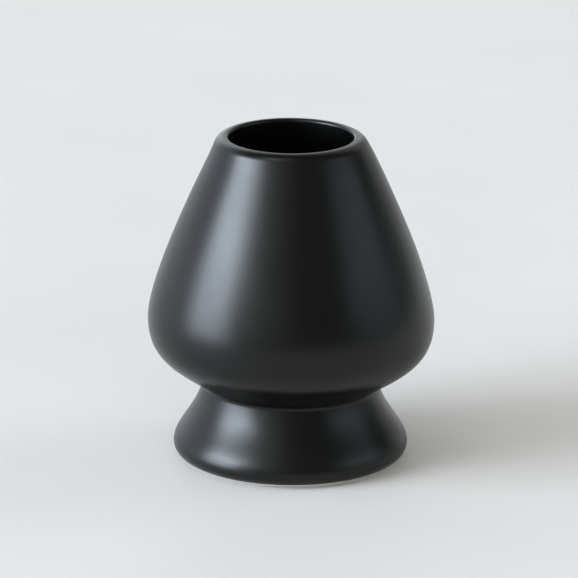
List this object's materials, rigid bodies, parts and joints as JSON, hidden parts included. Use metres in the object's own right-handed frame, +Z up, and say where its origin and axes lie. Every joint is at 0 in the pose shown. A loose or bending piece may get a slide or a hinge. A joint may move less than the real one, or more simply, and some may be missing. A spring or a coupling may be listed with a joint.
{
  "type": "tea whisk holder",
  "caption": "Hollow ceramic stand with a round mouth, a full belly, a narrow waist and a flared foot, for drying and shaping a bamboo tea whisk.",
  "frame": {"origin": "centre of the standing ring, on the table", "axes": "+Z up along the axis that the form is turned about, towards the mouth; -Y towards the viewer of the picture"},
  "size_m": [0.064, 0.064, 0.0738],
  "materials": {
    "bare_clay": "matte",
    "satin_black_glaze": "satin"
  },
  "bodies": {
    "root": {"clay_body": "bare_clay", "glaze_coat": "satin_black_glaze"}
  },
  "joints": []
}
